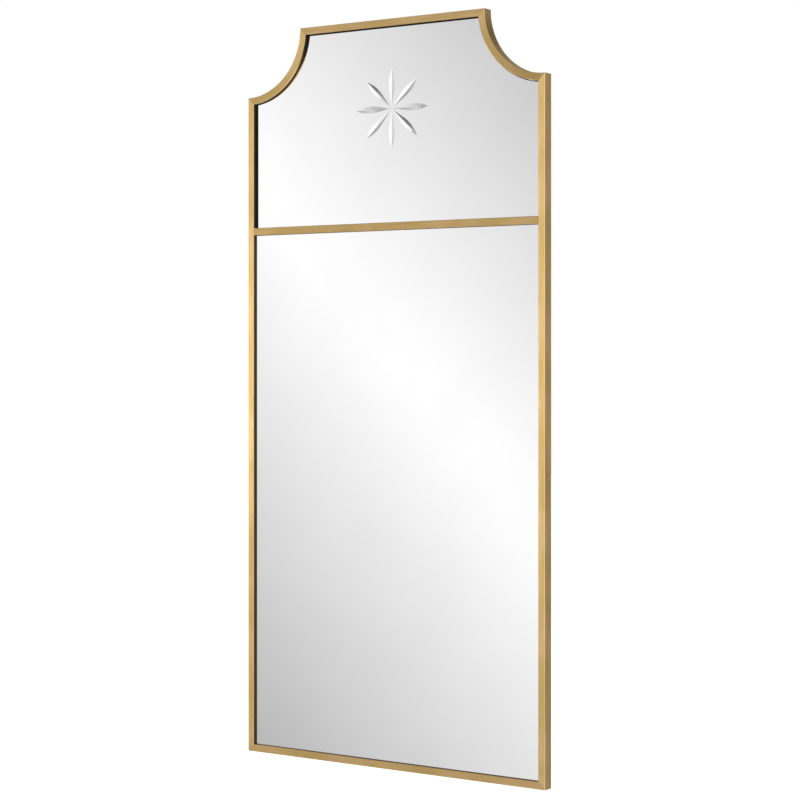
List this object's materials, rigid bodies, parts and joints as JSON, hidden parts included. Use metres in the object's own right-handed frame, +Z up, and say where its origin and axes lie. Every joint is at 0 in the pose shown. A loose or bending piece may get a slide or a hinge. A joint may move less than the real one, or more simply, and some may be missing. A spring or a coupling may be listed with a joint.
{
  "type": "wall mirror",
  "caption": "Tall framed wall mirror with concave upper corners, a crossbar between two panes, a star cut in the upper pane, and hanging rings behind.",
  "frame": {"origin": "on the wall plane, which the backs of the rubber bumpers touch, midway between the two points where the wall's hooks bear in the rings", "axes": "+X to the right as seen by someone facing the mirror, +Y into the wall, +Z up"},
  "size_m": [0.762, 0.029, 1.603],
  "materials": {
    "brass_finish": "brushed along each bar, antique brass",
    "mirror_glass": "polished, silvered behind",
    "backing_board": "pressed fibreboard, raw",
    "bonding_tape": "foam tape",
    "zinc_steel": "bright zinc plate",
    "bumper_rubber": "matt"
  },
  "bodies": {
    "frame": {"bottom_rail": "brass_finish", "cross_bar": "brass_finish", "left_hanger_plate": "brass_finish", "left_hanger_rivets": "zinc_steel", "left_hanger_strap": "zinc_steel", "left_scoop": "brass_finish", "left_stile": "brass_finish", "lower_backing_board": "backing_board", "lower_board_screws": "zinc_steel", "lower_bonding_tape": "bonding_tape", "lower_bottom_tab_1": "brass_finish", "lower_bottom_tab_2": "brass_finish", "lower_left_bumper": "bumper_rubber", "lower_left_tab_1": "brass_finish", "lower_left_tab_2": "brass_finish", "lower_left_tab_3": "brass_finish", "lower_mirror_pane": "mirror_glass", "lower_right_bumper": "bumper_rubber", "lower_right_tab_1": "brass_finish", "lower_right_tab_2": "brass_finish", "lower_right_tab_3": "brass_finish", "lower_top_tab_1": "brass_finish", "lower_top_tab_2": "brass_finish", "right_hanger_plate": "brass_finish", "right_hanger_rivets": "zinc_steel", "right_hanger_strap": "zinc_steel", "right_scoop": "brass_finish", "right_stile": "brass_finish", "top_rail": "brass_finish", "upper_backing_board": "backing_board", "upper_board_screws": "zinc_steel", "upper_bonding_tape": "bonding_tape", "upper_bottom_tab_1": "brass_finish", "upper_bottom_tab_2": "brass_finish", "upper_left_bumper": "bumper_rubber", "upper_left_tab_1": "brass_finish", "upper_left_tab_2": "brass_finish", "upper_mirror_pane": "mirror_glass", "upper_right_bumper": "bumper_rubber", "upper_right_tab_1": "brass_finish", "upper_right_tab_2": "brass_finish", "upper_top_tab_1": "brass_finish", "upper_top_tab_2": "brass_finish"},
    "left_ring": {"left_d_ring": "zinc_steel"},
    "right_ring": {"right_d_ring": "zinc_steel"}
  },
  "joints": [
    {"name": "left_ring_hinge", "type": "hinge", "parent": "frame", "child": "left_ring", "pos_m": [-0.345, -0.00404, -0.016], "axis": [-1, 0, 0], "range_deg": [-14, 174]},
    {"name": "right_ring_hinge", "type": "hinge", "parent": "frame", "child": "right_ring", "pos_m": [0.345, -0.00404, -0.016], "axis": [-1, 0, 0], "range_deg": [-14, 174]}
  ]
}
